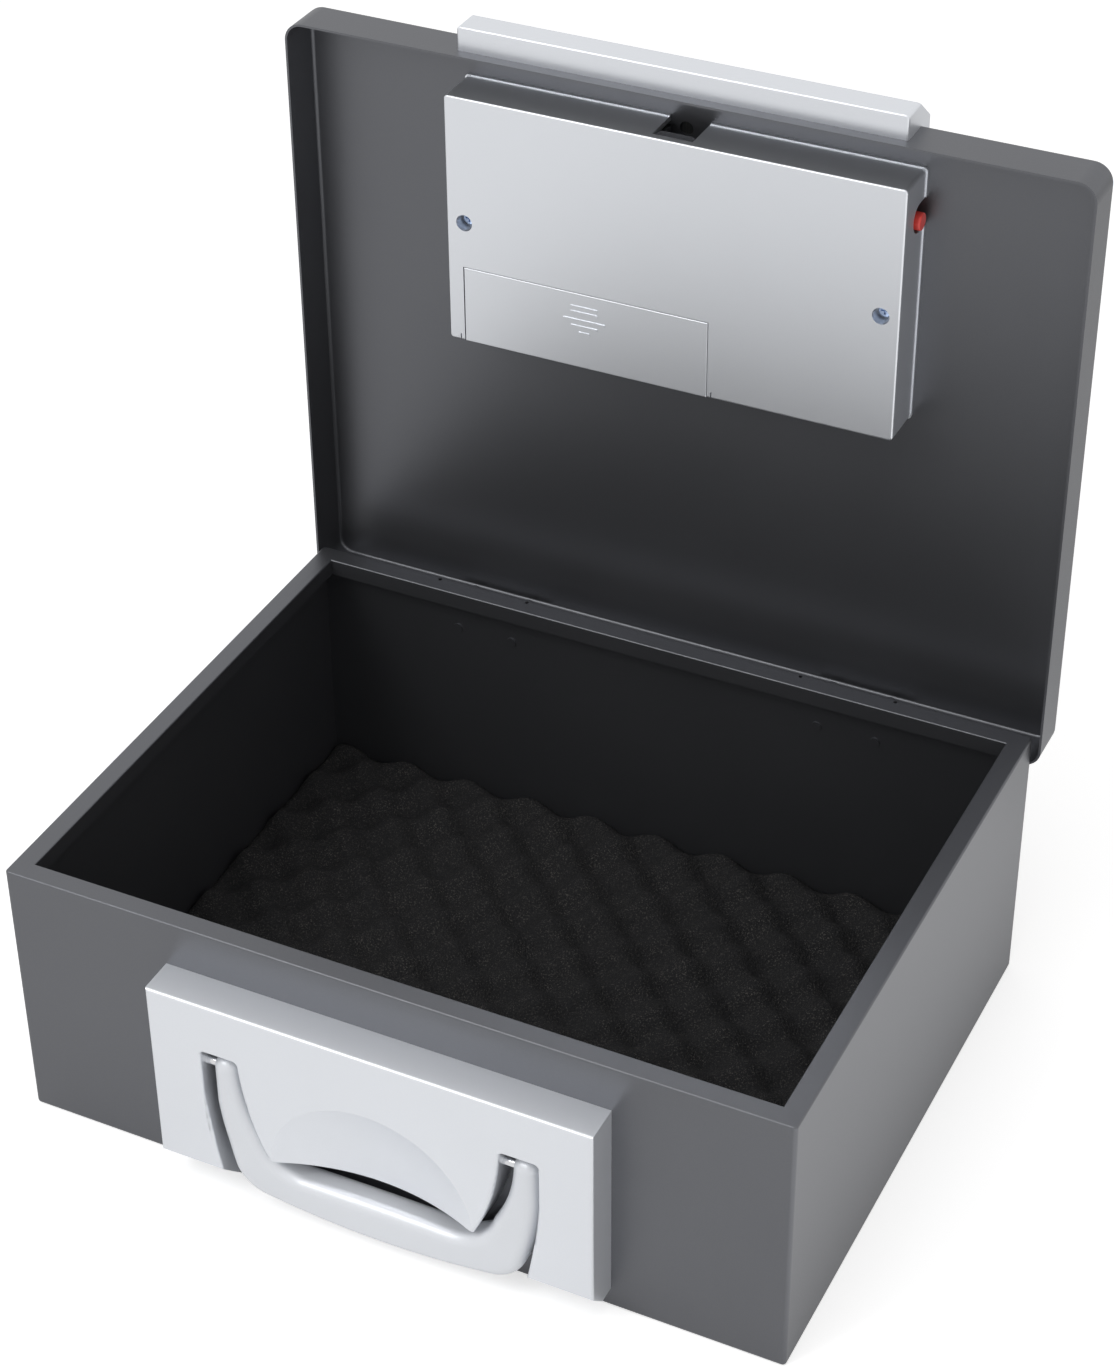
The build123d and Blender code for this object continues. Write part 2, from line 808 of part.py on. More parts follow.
def make_console_body():
    body = console_slab(0, console_half_width)
    nose_ends = [edge for edge in body.edges().filter_by(Axis.Z) if edge.center().Y < console_front + 0.01]
    body = fillet(nose_ends, console_corner)
    shown = [
        edge
        for edge in body.edges()
        if edge.center().Z > lid_top or edge.center().Y < lid_front - lid_bend
    ]
    body = fillet(shown, console_edge)
    body -= console_groove()
    body -= console_slab(console_wall, console_half_width - console_wall)
    for x, y in console_screw_spots():
        body += rod((x, y, lid_top), (0, 0, 1), console_boss_radius, console_rise - console_wall / 2)
        body -= rod((x, y, lid_top), (0, 0, 1), screw_radius, console_rise - console_wall)
    body -= lid_block()
    skin = console_top - console_wall
    body -= bezel_frame(bezel_clear, skin - over, console_top + over)
    body -= hole((lock_x, lock_y, skin), (0, 0, 1), lock_body_radius + screw_fit, console_wall)
    body -= rod((lock_x, lock_y, console_top - lock_flange_sheet), (0, 0, 1),
                lock_flange_radius + screw_fit, lock_flange_sheet + over)
    return body - hole((lock_x, lock_y + flap_arm, skin), (0, 0, 1), flap_pin_radius, console_wall)


def bezel_frame(grown, low, high):
    """A slab on the bezel's rectangle, larger all round by grown."""
    return block(bezel_left - grown, bezel_right + grown, bezel_front - grown, bezel_back + grown, low, high)


def key_spots():
    """Name and middle of each key."""
    first_x = bezel_left + key_field_left + key_pitch_x / 2
    middle = (bezel_front + bezel_back) / 2
    rows = (middle + key_pitch_y / 2, middle - key_pitch_y / 2)
    spots = []
    for index, name in enumerate(key_names):
        column = index % key_columns
        row = index // key_columns
        spots.append((name, first_x + column * key_pitch_x, rows[row]))
    return spots


def led_spots():
    x = bezel_right - led_from_bezel_end
    middle = (bezel_front + bezel_back) / 2
    return [(x, middle + step * led_pitch) for step in (-1, 0, 1)]


def make_keypad_bezel():
    under = console_top - bezel_sheet
    skirt_low = under - bezel_skirt
    plate = bezel_frame(0, skirt_low, console_top)
    plate += bezel_frame(bezel_lip, skirt_low, under - bezel_lip_gap)
    plate -= bezel_frame(-bezel_skirt_wall, skirt_low - over, under)
    w = key_width / 2 + key_clear
    d = key_length / 2 + key_clear
    for _, x, y in key_spots():
        plate -= block(x - w, x + w, y - d, y + d, under - over, console_top + over)
    for x, y in led_spots():
        plate -= hole((x, y, under), (0, 0, 1), led_radius + led_fit, bezel_sheet)
    return plate


def make_key(x, y):
    under = console_top - bezel_sheet - key_flange_drop
    cap_height = console_top + key_proud - under
    cap = Pos(x, y, under) * extrude(RectangleRounded(key_width, key_length, key_corner), cap_height)
    cap = fillet(cap.faces().sort_by(Axis.Z)[-1].edges(), key_edge)
    flange = block(x - key_width / 2 - key_flange, x + key_width / 2 + key_flange,
                   y - key_length / 2 - key_flange, y + key_length / 2 + key_flange,
                   under - key_flange_sheet, under)
    return cap + flange


def make_key_mat():
    right = bezel_right - led_from_bezel_end - led_radius - key_mat_inset
    film_top = key_board_top + key_mat_film
    mat = block(bezel_left + key_mat_inset, right, bezel_front + key_mat_inset, bezel_back - key_mat_inset,
                key_board_top, film_top)
    dome = Cone(dome_radius, dome_top_radius, dome_height, align=(Align.CENTER, Align.CENTER, Align.MIN))
    for _, x, y in key_spots():
        mat += Pos(x, y, film_top) * dome
    return mat


def make_keypad_board():
    board_back = ribbon_place()[1] + ribbon_edge
    return block(bezel_left, bezel_right, bezel_front, board_back, lid_top, key_board_top)


def make_led(x, y):
    height = console_top + led_proud - key_board_top
    body = rod((x, y, key_board_top), (0, 0, 1), led_radius, height)
    return fillet(body.edges().filter_by(GeomType.CIRCLE).sort_by(Axis.Z)[-1], led_radius * 0.6)


# Emergency key lock


def make_cylinder_body():
    top = console_top
    body = rod((lock_x, lock_y, top), (0, 0, -1), lock_body_radius, lock_length)
    body += rod((lock_x, lock_y, top), (0, 0, -1), lock_flange_radius, lock_flange_sheet)
    return body - hole((lock_x, lock_y, top), (0, 0, -1), lock_plug_radius + plug_fit, lock_length)


def make_cylinder_nut():
    nut = extrude(RegularPolygon(lock_nut_radius, 6), lock_nut_height)
    nut -= hole((0, 0, 0), (0, 0, 1), lock_body_radius, lock_nut_height)
    return Pos(lock_x, lock_y, chassis_face - lock_nut_height) * nut


def make_key_plug():
    top = console_top
    plug = rod((lock_x, lock_y, top), (0, 0, -1), lock_plug_radius, top - cam_high)
    half_x = keyhole_width / 2
    half_y = keyhole_length / 2
    return plug - block(lock_x - half_x, lock_x + half_x, lock_y - half_y, lock_y + half_y,
                        top - keyhole_depth, top + over)


def make_key_cam():
    cam = rod((lock_x, lock_y, cam_low), (0, 0, 1), cam_hub_radius, cam_sheet)
    left = lock_x - cam_half_width
    right = lock_x + cam_half_width
    cam += block(left, right, lock_y - cam_reach, lock_y, cam_low, cam_high)
    return cam


def make_key_cover():
    pivot = (lock_x, lock_y + flap_arm)
    low = console_top + flap_lift
    cover = rod((lock_x, lock_y, low), (0, 0, 1), flap_radius, flap_sheet)
    cover += rod((pivot[0], pivot[1], low), (0, 0, 1), flap_radius / 2, flap_sheet)
    half = flap_radius / 2
    cover += block(lock_x - half, lock_x + half, lock_y, pivot[1], low, low + flap_sheet)
    cover = fillet(cover.faces().sort_by(Axis.Z)[-1].edges(), flap_edge)
    pin_low = lid_top + flap_pin_above_lid
    return cover + rod((pivot[0], pivot[1], pin_low), (0, 0, 1), flap_pin_radius - plug_fit, low - pin_low)


# Lock housing cover


def well_spots():
    y = housing_front + cover_screw_from_front
    return [(-cover_screw_x, y), (cover_screw_x, y)]


def make_housing_cover():
    half = housing_half_width
    w = housing_wall
    rim = lid_inner - housing_seat_gap
    cover = block(-half, half, housing_front, housing_back, housing_face, rim)
    cover = fillet(cover.edges().filter_by(Axis.Z), 2 * housing_edge)
    cover = fillet(cover.faces().sort_by(Axis.Z)[0].edges(), housing_edge)
    outer = half + housing_lip
    lip = block(-outer, outer, housing_front - housing_lip, housing_back + housing_lip,
                rim - housing_lip_sheet, rim)
    cover += fillet(lip.edges().filter_by(Axis.Z), 2 * housing_edge)
    cover -= block(-half + w, half - w, housing_front + w, housing_back - w, housing_inner, rim + over)
    well_floor = housing_face + screw_well_depth
    for x, y in well_spots():
        cover += rod((x, y, housing_face), (0, 0, 1), screw_well_radius + screw_well_wall,
                     screw_well_depth + w)
        cover -= rod((x, y, well_floor), (0, 0, -1), screw_well_radius, screw_well_depth + over)
        cover -= hole((x, y, well_floor), (0, 0, 1), screw_radius + screw_fit, w)
    half_notch = bolt_notch_half_width
    cover -= block(-half_notch, half_notch, housing_front - housing_lip - over, housing_front + w + over,
                   housing_face + bolt_notch_from_face, rim + over)
    button_y, button_z = button_centre()
    recess = button_recess_radius
    recess_y = button_y - button_recess_shift
    cover -= hole((half - w, recess_y, button_z), (1, 0, 0), recess, w)
    cover -= block(half - w - over, outer + over, recess_y - recess, recess_y + recess, button_z, rim + over)
    cover -= block(door_left - door_clear, door_right + door_clear, door_front() - door_clear,
                   housing_back + over, housing_face - over, housing_face + door_sheet + door_clear)
    for x in (door_left - door_slit_offset, door_right + door_slit_offset):
        cover -= block(x - door_slit_width / 2, x + door_slit_width / 2, housing_back - door_slit_length,
                       housing_back + over, housing_face - over, housing_inner + over)
    return cover


def door_front():
    return housing_back - door_length


def button_centre():
    return housing_front + button_from_front, lid_inner - button_from_lid


def make_battery_cover():
    door = block(door_left, door_right, door_front(), housing_back, housing_face, housing_face + door_sheet)
    door = fillet(door.faces().sort_by(Axis.Z)[0].edges(), door_edge)
    for distance, width in arrow_bars:
        y = housing_back - distance
        door += block(door_middle - width / 2, door_middle + width / 2, y, y + arrow_bar_height,
                      housing_face - arrow_relief, housing_face + arrow_relief)
    return door


# Lock works on the chassis plate


def make_lock_chassis():
    half = housing_half_width - chassis_margin
    front = housing_front + chassis_margin
    back = housing_back - chassis_margin
    plate = block(-half, half, front, back, chassis_face, lid_inner)
    low = housing_face + screw_well_depth + housing_wall + housing_seat_gap
    for x, y in well_spots():
        plate += rod((x, y, low), (0, 0, 1), post_radius, chassis_face - low)
        plate -= rod((x, y, low - over), (0, 0, 1), screw_radius, chassis_face - low)
    for x, y in board_post_spots():
        plate += rod((x, y, chassis_face), (0, 0, -1), board_post_radius, board_lift)
    for x, y in console_screw_spots():
        plate -= hole((x, y, chassis_face), (0, 0, 1), screw_radius + screw_fit, chassis_sheet)
    plate -= hole((lock_x, lock_y, chassis_face), (0, 0, 1), lock_body_radius + screw_fit, chassis_sheet)
    plate -= ribbon_slot(chassis_face - over, lid_inner + over)
    plate -= block(-bolt_notch_half_width, bolt_notch_half_width, front - over, front + chassis_notch_length,
                   chassis_face - over, lid_inner + over)
    return plate + make_button_bracket()


def make_button_bracket():
    """Tab of the chassis that the reset button's stem slides in."""
    button_y, button_z = button_centre()
    half = button_bracket_half_width
    sheet = button_bracket_sheet
    right = housing_half_width + button_proud - button_cap_length - button_travel - button_bracket_gap
    tab = block(right - sheet, right, button_y - half, button_y + half, button_z - half, chassis_face)
    return tab - hole((right - sheet, button_y, button_z), (1, 0, 0), button_stem_radius + plug_fit, sheet)


def board_y0():
    return housing_front + board_from_front


def board_post_spots():
    inset = board_post_inset
    rows = (board_y0() + inset, board_y0() + board_length - inset)
    return [(x, y) for x in (board_left + inset, board_right - inset) for y in rows]


def make_circuit_board():
    top = chassis_face - board_lift
    low = top - board_sheet
    y0 = board_y0()
    board = block(board_left, board_right, y0, y0 + board_length, low, top)
    button_y, button_z = button_centre()
    switch_right = button_stem_end() - button_travel - switch_gap
    board += block(board_right - switch_length, switch_right, button_y - switch_half_width,
                   button_y + switch_half_width, button_z - switch_drop, low)
    for corner, size in ((chip_corner, chip_size), (relay_corner, relay_size)):
        x = board_left + corner[0]
        y = y0 + corner[1]
        board += block(x, x + size[0], y, y + size[1], low - size[2], low)
    for place in capacitor_places:
        foot = (board_left + place[0], y0 + place[1], low)
        board += rod(foot, (0, 0, -1), capacitor_radius, capacitor_height)
    return board


def button_stem_end():
    outer = housing_half_width + button_proud
    return outer - button_cap_length - button_stem_length


def make_reset_button():
    button_y, button_z = button_centre()
    outer = housing_half_width + button_proud
    cap = rod((outer - button_cap_length, button_y, button_z), (1, 0, 0), button_radius, button_cap_length)
    cap = fillet(cap.edges().filter_by(GeomType.CIRCLE).sort_by(Axis.X)[-1], button_edge)
    stem_end = (button_stem_end(), button_y, button_z)
    return cap + rod(stem_end, (1, 0, 0), button_stem_radius, button_stem_length)


def make_keypad_ribbon():
    x, y = ribbon_place()
    half = ribbon_width / 2
    low = chassis_face - board_lift
    return block(x - half, x + half, y - ribbon_sheet / 2, y + ribbon_sheet / 2, low, lid_top)


def make_battery_leads():
    """Two leads from the tray's side, forward along the housing and up to the circuit board."""
    board_low = chassis_face - board_lift - board_sheet
    y_end = board_y0() + board_length - lead_from_board_end
    z = housing_inner + lead_above_face
    leads = []
    for step in (0, 1):
        x = board_right - lead_from_board_side - lead_side_pitch * step
        y = housing_back - lead_from_back - lead_back_pitch * step
        points = ((tray_right(), y, z), (x, y, z), (x, y_end, z), (x, y_end, board_low))
        path = FilletPolyline(*points, radius=lead_bend)
        profile = Plane(origin=path @ 0, z_dir=path % 0) * Circle(lead_radius)
        leads.append(sweep(profile, path))
    return leads


def tray_left():
    return door_left - tray_overlap


def tray_right():
    return door_right + tray_overlap


def tray_front():
    return door_front() - tray_overlap


def tray_back():
    return housing_back - housing_wall - tray_back_gap


def make_battery_tray():
    low = housing_inner + tray_seat_gap
    t = tray_wall
    tray = block(tray_left(), tray_right(), tray_front(), tray_back(), low, chassis_face)
    tray -= block(tray_left() + t, tray_right() - t, tray_front() + t, tray_back() - t, low, chassis_face - t)
    return tray


def cell_axis_z():
    return chassis_face - tray_wall - cell_gap - cell_radius


def cell_rows():
    middle = (tray_front() + tray_back()) / 2
    return (middle - cell_row_pitch / 2, middle + cell_row_pitch / 2)


def cell_starts():
    """Left end of each cell's can, two in line in each row."""
    pair = 2 * (cell_length + cell_nub_length) + cell_gap
    middle = (tray_left() + tray_right()) / 2
    left = middle - pair / 2
    return (left, left + cell_length + cell_nub_length + cell_gap)


def make_cells():
    cells = []
    z = cell_axis_z()
    for row, y in enumerate(cell_rows()):
        for start in cell_starts():
            can_start = start if row == 0 else start + cell_nub_length
            nub_start = start + cell_length if row == 0 else start
            can = rod((can_start, y, z), (1, 0, 0), cell_radius, cell_length)
            can = fillet(can.edges().filter_by(GeomType.CIRCLE), cell_edge)
            cells.append(can + rod((nub_start, y, z), (1, 0, 0), cell_nub_radius, cell_nub_length))
    return cells


def make_contacts():
    """Plate against each end wall, with a short spring barrel up to the cell."""
    z = cell_axis_z()
    left_wall = tray_left() + tray_wall
    right_wall = tray_right() - tray_wall
    first = cell_starts()[0] - contact_gap
    last = cell_starts()[1] + cell_length + cell_nub_length + contact_gap
    half = contact_half_width
    contacts = []
    for y in cell_rows():
        plate = block(left_wall, left_wall + contact_sheet, y - half, y + half, z - half, z + half)
        plate += rod((left_wall, y, z), (1, 0, 0), contact_spring_radius, first - left_wall)
        contacts.append(plate)
        plate = block(right_wall - contact_sheet, right_wall, y - half, y + half, z - half, z + half)
        plate += rod((last, y, z), (1, 0, 0), contact_spring_radius, right_wall - last)
        contacts.append(plate)
    return contacts


def make_lock_bolt():
    x = bolt_half_width
    bolt = block(-x, x, bolt_nose, bolt_tail, bolt_low, bolt_high)
    nose_edges = bolt.edges().filter_by(Axis.Y).sort_by(Axis.Z)[-2:]
    bolt = fillet(nose_edges, bolt_nose_radius)
    bolt += block(-x, x, bolt_tail - tab_sheet, bolt_tail, bolt_low, bolt_low + tab_height)
    tail_y = lock_y + cam_half_width + cam_gap
    tail_low = cam_low - tail_drop
    tail_end = lock_x + tail_short_of_lock
    bolt += block(tail_end, 0, tail_y, tail_y + tail_width, tail_low, tail_low + tail_sheet)
    neck_bore = plunger_neck_radius + plunger_gap
    return bolt - hole((0, bolt_tail - tab_sheet, plunger_z), (0, 1, 0), neck_bore, tab_sheet)


def make_bolt_guide():
    x = bolt_half_width + bolt_fit
    t = guide_sheet
    front = bolt_nose + guide_from_nose
    back = front + guide_length
    low = bolt_low - bolt_fit
    high = bolt_high + bolt_fit
    guide = block(-x - t, x + t, front, back, low - t, high + t)
    guide += block(-x - t, -x, front, back, high, chassis_face)
    guide += block(x, x + t, front, back, high, chassis_face)
    return guide - block(-x, x, front - over, back + over, low, high)


def coil_front():
    return bolt_tail + spring_length + frame_sheet + coil_gap


def make_solenoid_frame():
    t = frame_sheet
    front = coil_front() - t
    back = coil_front() + coil_length + t
    half = coil_radius + frame_margin
    low = plunger_z - coil_radius
    frame = block(-half, half, front, back, chassis_face - t, chassis_face)
    frame += block(-half, half, front, front + t, low, chassis_face)
    frame += block(-half, half, back - t, back, low, chassis_face)
    return frame - hole((0, front, plunger_z), (0, 1, 0), plunger_radius + plunger_play, t)


def make_solenoid_coil():
    front = coil_front()
    coil = rod((0, front, plunger_z), (0, 1, 0), coil_radius, coil_length)
    bore_length = coil_length - coil_back_wall + over
    return coil - rod((0, front - over, plunger_z), (0, 1, 0), plunger_radius + plunger_play, bore_length)


def make_plunger():
    neck_start = bolt_tail - tab_sheet - plunger_gap
    head_start = neck_start - plunger_head_length
    body_start = bolt_tail + plunger_gap
    plunger = rod((0, head_start, plunger_z), (0, 1, 0), plunger_radius, plunger_head_length)
    plunger += rod((0, neck_start, plunger_z), (0, 1, 0), plunger_neck_radius, body_start - neck_start)
    return plunger + rod((0, body_start, plunger_z), (0, 1, 0), plunger_radius, plunger_length)


def make_bolt_spring():
    start = bolt_tail + spring_gap
    ring = rod((0, start, plunger_z), (0, 1, 0), spring_radius, spring_length)
    return ring - hole((0, start, plunger_z), (0, 1, 0), spring_radius - spring_wall, spring_length)


os.makedirs("parts", exist_ok=True)

save("base_shell", make_base_shell())
save("floor_mat", make_floor_mat())
save("strike_bracket", make_strike_bracket())
save("base_hinge_leaves", *[make_base_leaf(place) for place in hinge_places])
save("hinge_pins", *[make_hinge_pin(place) for place in hinge_places])
stack = base_sheet + leaf_sheet
save("base_hinge_rivets", *[
    rivet((x, wall_back + leaf_sheet, z), (0, -1, 0), stack) for x, z in base_rivet_spots()
])
save("handle_panel", make_handle_panel())
save("panel_screws", *[
    screw((x, wall_front + base_sheet, z), (0, -1, 0), panel_screw_length) for x, z in panel_screw_spots()
])
save("handle_pivot_pins", make_pivot_pin(-1), make_pivot_pin(1))
save("carry_handle", make_carry_handle())

save_lid("lid_shell", make_lid_shell())
save_lid("lid_hinge_leaves", *[make_lid_leaf(place) for place in hinge_places])
stack = lid_sheet + leaf_sheet
save_lid("lid_hinge_rivets", *[rivet((x, lid_back, z), (0, -1, 0), stack) for x, z in lid_rivet_spots()])
save_lid("console_body", make_console_body())
save_lid("keypad_bezel", make_keypad_bezel())
save_lid("key_mat", make_key_mat())
save_lid("keypad_board", make_keypad_board())
save_lid("status_leds", *[make_led(x, y) for x, y in led_spots()])
save_lid("console_screws", *[
    screw((x, y, chassis_face), (0, 0, 1), console_screw_length) for x, y in console_screw_spots()
])
for name, x, y in key_spots():
    save_lid(f"key_{name}", make_key(x, y))
save_lid("key_cover", make_key_cover())
save_lid("cylinder_body", make_cylinder_body())
save_lid("cylinder_nut", make_cylinder_nut())
save_lid("key_plug", make_key_plug())
save_lid("key_cam", make_key_cam())
save_lid("housing_cover", make_housing_cover())
save_lid("battery_cover", make_battery_cover())
save_lid("cover_screws", *[
    screw((x, y, housing_face + screw_well_depth), (0, 0, 1), cover_screw_length) for x, y in well_spots()
])
save_lid("lock_chassis", make_lock_chassis())
save_lid("circuit_board", make_circuit_board())
save_lid("keypad_ribbon", make_keypad_ribbon())
save_lid("battery_leads", *make_battery_leads())
save_lid("battery_tray", make_battery_tray())
save_lid("batteries", *make_cells())
save_lid("battery_contacts", *make_contacts())
save_lid("reset_button", make_reset_button())
save_lid("lock_bolt", make_lock_bolt())
save_lid("bolt_guide", make_bolt_guide())
save_lid("solenoid_frame", make_solenoid_frame())
save_lid("solenoid_coil", make_solenoid_coil())
save_lid("solenoid_plunger", make_plunger())
save_lid("bolt_spring", make_bolt_spring())
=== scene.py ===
import json
import math

import bmesh
import bpy
from mathutils import Matrix, Vector

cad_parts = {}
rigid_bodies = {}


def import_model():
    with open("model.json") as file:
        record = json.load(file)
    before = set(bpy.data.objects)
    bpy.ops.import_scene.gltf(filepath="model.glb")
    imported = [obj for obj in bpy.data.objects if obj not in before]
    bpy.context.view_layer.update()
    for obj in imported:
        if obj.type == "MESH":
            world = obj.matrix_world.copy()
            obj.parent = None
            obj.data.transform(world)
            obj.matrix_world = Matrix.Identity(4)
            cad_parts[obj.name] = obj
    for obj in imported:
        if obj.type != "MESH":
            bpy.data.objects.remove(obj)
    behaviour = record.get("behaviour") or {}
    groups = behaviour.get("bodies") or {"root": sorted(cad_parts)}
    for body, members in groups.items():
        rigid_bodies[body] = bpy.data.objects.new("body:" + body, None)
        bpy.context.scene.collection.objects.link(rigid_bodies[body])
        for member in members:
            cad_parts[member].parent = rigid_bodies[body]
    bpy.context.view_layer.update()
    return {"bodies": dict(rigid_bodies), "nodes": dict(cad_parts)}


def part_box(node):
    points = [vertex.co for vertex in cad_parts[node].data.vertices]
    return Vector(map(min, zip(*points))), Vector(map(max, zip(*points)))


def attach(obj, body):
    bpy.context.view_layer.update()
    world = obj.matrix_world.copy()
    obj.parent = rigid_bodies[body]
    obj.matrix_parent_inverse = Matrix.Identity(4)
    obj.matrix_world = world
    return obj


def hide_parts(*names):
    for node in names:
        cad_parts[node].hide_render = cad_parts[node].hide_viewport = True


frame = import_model()
print("frame loaded:", len(frame["nodes"]), "nodes")


# Shader maths: a Signal is one output socket, and arithmetic on it adds Math nodes

class Signal:
    def __init__(self, graph, socket):
        self.graph = graph
        self.socket = socket

    def math(self, operation, first, second):
        return self.graph.node("ShaderNodeMath", {"operation": operation}, {0: first, 1: second})

    def __add__(self, other):
        return self.math("ADD", self, other)

    def __radd__(self, other):
        return self.math("ADD", other, self)

    def __sub__(self, other):
        return self.math("SUBTRACT", self, other)

    def __rsub__(self, other):
        return self.math("SUBTRACT", other, self)

    def __mul__(self, other):
        return self.math("MULTIPLY", self, other)

    def __rmul__(self, other):
        return self.math("MULTIPLY", other, self)

    def __gt__(self, other):
        return self.math("GREATER_THAN", self, other)


class Graph:
    def __init__(self, tree):
        self.tree = tree
        tree.nodes.clear()

    def put(self, socket, value):
        if isinstance(value, Signal):
            self.tree.links.new(value.socket, socket)
        else:
            socket.default_value = value

    # any node: its type, its settings, then the values or links of its sockets
    def node(self, nodeType, settings=None, sockets=None, output=0):
        made = self.tree.nodes.new(nodeType)
        for name, value in (settings or {}).items():
            setattr(made, name, value)
        for name, value in (sockets or {}).items():
            self.put(made.inputs[name], value)
        return Signal(self, made.outputs[output]) if made.outputs else None

    def position(self):
        return self.node("ShaderNodeTexCoord", output="Object")

    def along(self, axis):
        return self.node("ShaderNodeSeparateXYZ", {}, {0: self.position()}, output=axis)

    # 0 at the low side of a box and 1 at the high side, along an axis
    def share(self, axis, low, high):
        start, end = (corner["XYZ".index(axis)] for corner in (low, high))
        return (self.along(axis) - start) * (1.0 / (end - start))

    def ray(self, kind):
        return self.node("ShaderNodeLightPath", output="Is " + kind + " Ray")

    # size is the width of one grain in metres
    def noise(self, size, detail=2.0, roughness=0.5, place=None):
        return self.node("ShaderNodeTexNoise", {}, {
            "Vector": place or self.position(), "Scale": 1.0 / size,
            "Detail": detail, "Roughness": roughness,
        })

    # two patterns in one, with the share that the first has in it
    def blend(self, first, second, share):
        return first * share + second * (1.0 - share)

    # of the Mix node's many sockets, 6 and 7 take the colours and output 2 gives one
    def mixColour(self, factor, low, high):
        low = low if isinstance(low, Signal) else (*low, 1.0)
        high = high if isinstance(high, Signal) else (*high, 1.0)
        settings = {"data_type": "RGBA", "clamp_factor": True}
        return self.node("ShaderNodeMix", settings, {0: factor, 6: low, 7: high}, output=2)


class Finish(Graph):
    def __init__(self, name, look):
        self.material = bpy.data.materials.new(name)
        self.material.use_nodes = True
        super().__init__(self.material.node_tree)
        self.surface = self.tree.nodes.new("ShaderNodeBsdfPrincipled")
        shader = Signal(self, self.surface.outputs["BSDF"])
        self.node("ShaderNodeOutputMaterial", {}, {"Surface": shader})
        for socketName, value in look.items():
            self.feed(socketName, value)

    def feed(self, name, value):
        self.put(self.surface.inputs[name], value)

    def bump(self, height, distance, strength, under=None):
        sockets = {"Strength": strength, "Distance": distance, "Height": height}
        if under is not None:
            sockets["Normal"] = under
        return self.node("ShaderNodeBump", {}, sockets)


# Finishes. Widths, pitches and heights are in metres, roughness is that of the smoothest
# spots, and what a pattern adds to it at most is named after the pattern.

paint = {
    "colour": (0.156, 0.160, 0.172),
    "darker": (0.118, 0.121, 0.132),
    "metallic": 0.86,
    "roughness": 0.36,
    "cloud": 0.09,
    "cloudShare": 0.5,       # of the clouds in the colour, the flecks have the rest
    "cloudRoughness": 0.04,
    "fleck": 0.00028,
    "grain": 0.0008,
    "grainHeight": 0.00005,
    "grainRoughness": 0.05,
}


def makePaint():
    finish = Finish("graphitePaint", {"Metallic": paint["metallic"]})
    grain = finish.noise(paint["grain"], detail=3.0, roughness=0.6)
    fleck = finish.noise(paint["fleck"], detail=1.0)
    cloud = finish.noise(paint["cloud"])
    pattern = finish.blend(cloud, fleck, paint["cloudShare"])
    unevenness = cloud * paint["cloudRoughness"] + grain * paint["grainRoughness"]
    finish.feed("Base Color", finish.mixColour(pattern, paint["darker"], paint["colour"]))
    finish.feed("Roughness", paint["roughness"] + unevenness)
    finish.feed("Normal", finish.bump(grain, paint["grainHeight"], strength=0.7))
    return finish.material


silver = {
    "colour": (0.79, 0.812, 0.850),
    "darker": (0.72, 0.740, 0.776),
    "flake": 0.00035,
    "flakeShare": 0.6,       # of the flakes in the colour, the clouds have the rest
    "flakeHeight": 0.000006,
    "flakeRoughness": 0.05,
    "cloud": 0.06,
    "cloudRoughness": 0.03,
    "ripple": 0.012,
    "rippleHeight": 0.00002,
    "kinds": {
        "silverPanel": {"metallic": 0.62, "roughness": 0.32, "shade": 1.0},
        "silverHandle": {"metallic": 0.25, "roughness": 0.34, "shade": 1.0},
        "silverHousing": {"metallic": 0.88, "roughness": 0.34, "shade": 0.94},
    },
}


def makeSilver(name):
    kind = silver["kinds"][name]
    finish = Finish(name, {"Metallic": kind["metallic"]})
    flake = finish.noise(silver["flake"], roughness=0.7)
    ripple = finish.noise(silver["ripple"])
    cloud = finish.noise(silver["cloud"])
    low = tuple(part * kind["shade"] for part in silver["darker"])
    high = tuple(part * kind["shade"] for part in silver["colour"])
    pattern = finish.blend(flake, cloud, silver["flakeShare"])
    unevenness = flake * silver["flakeRoughness"] + cloud * silver["cloudRoughness"]
    finish.feed("Base Color", finish.mixColour(pattern, low, high))
    finish.feed("Roughness", kind["roughness"] + unevenness)
    fine = finish.bump(flake, silver["flakeHeight"], strength=0.4)
    finish.feed("Normal", finish.bump(ripple, silver["rippleHeight"], strength=0.25, under=fine))
    return finish.material


foam = {
    "colour": (0.018, 0.018, 0.019),
    "dust": (0.115, 0.108, 0.100),
    "roughness": 0.95,
    "gloss": 0.15,
    "speck": 0.0007,
    "speckLevel": 0.60,      # where the noise is above this, dust lies on the foam
    "patch": 0.012,
    "cell": 0.0011,
    "cellDepth": 0.0006,
    "lump": 0.004,
    "lumpHeight": 0.0012,
}


def makeFoam():
    look = {"Roughness": foam["roughness"], "Specular IOR Level": foam["gloss"]}
    finish = Finish("openCellFoam", look)
    sockets = {"Vector": finish.position(), "Scale": 1.0 / foam["cell"]}
    cells = finish.node("ShaderNodeTexVoronoi", {"feature": "F1"}, sockets)
    specks = finish.noise(foam["speck"], roughness=0.8) > foam["speckLevel"]
    patches = finish.noise(foam["patch"])
    lumps = finish.noise(foam["lump"], detail=3.0)
    finish.feed("Base Color", finish.mixColour(specks * patches, foam["colour"], foam["dust"]))
    coarse = finish.bump(lumps, foam["lumpHeight"], strength=0.5)
    finish.feed("Normal", finish.bump(cells, foam["cellDepth"], strength=0.9, under=coarse))
    return finish.material


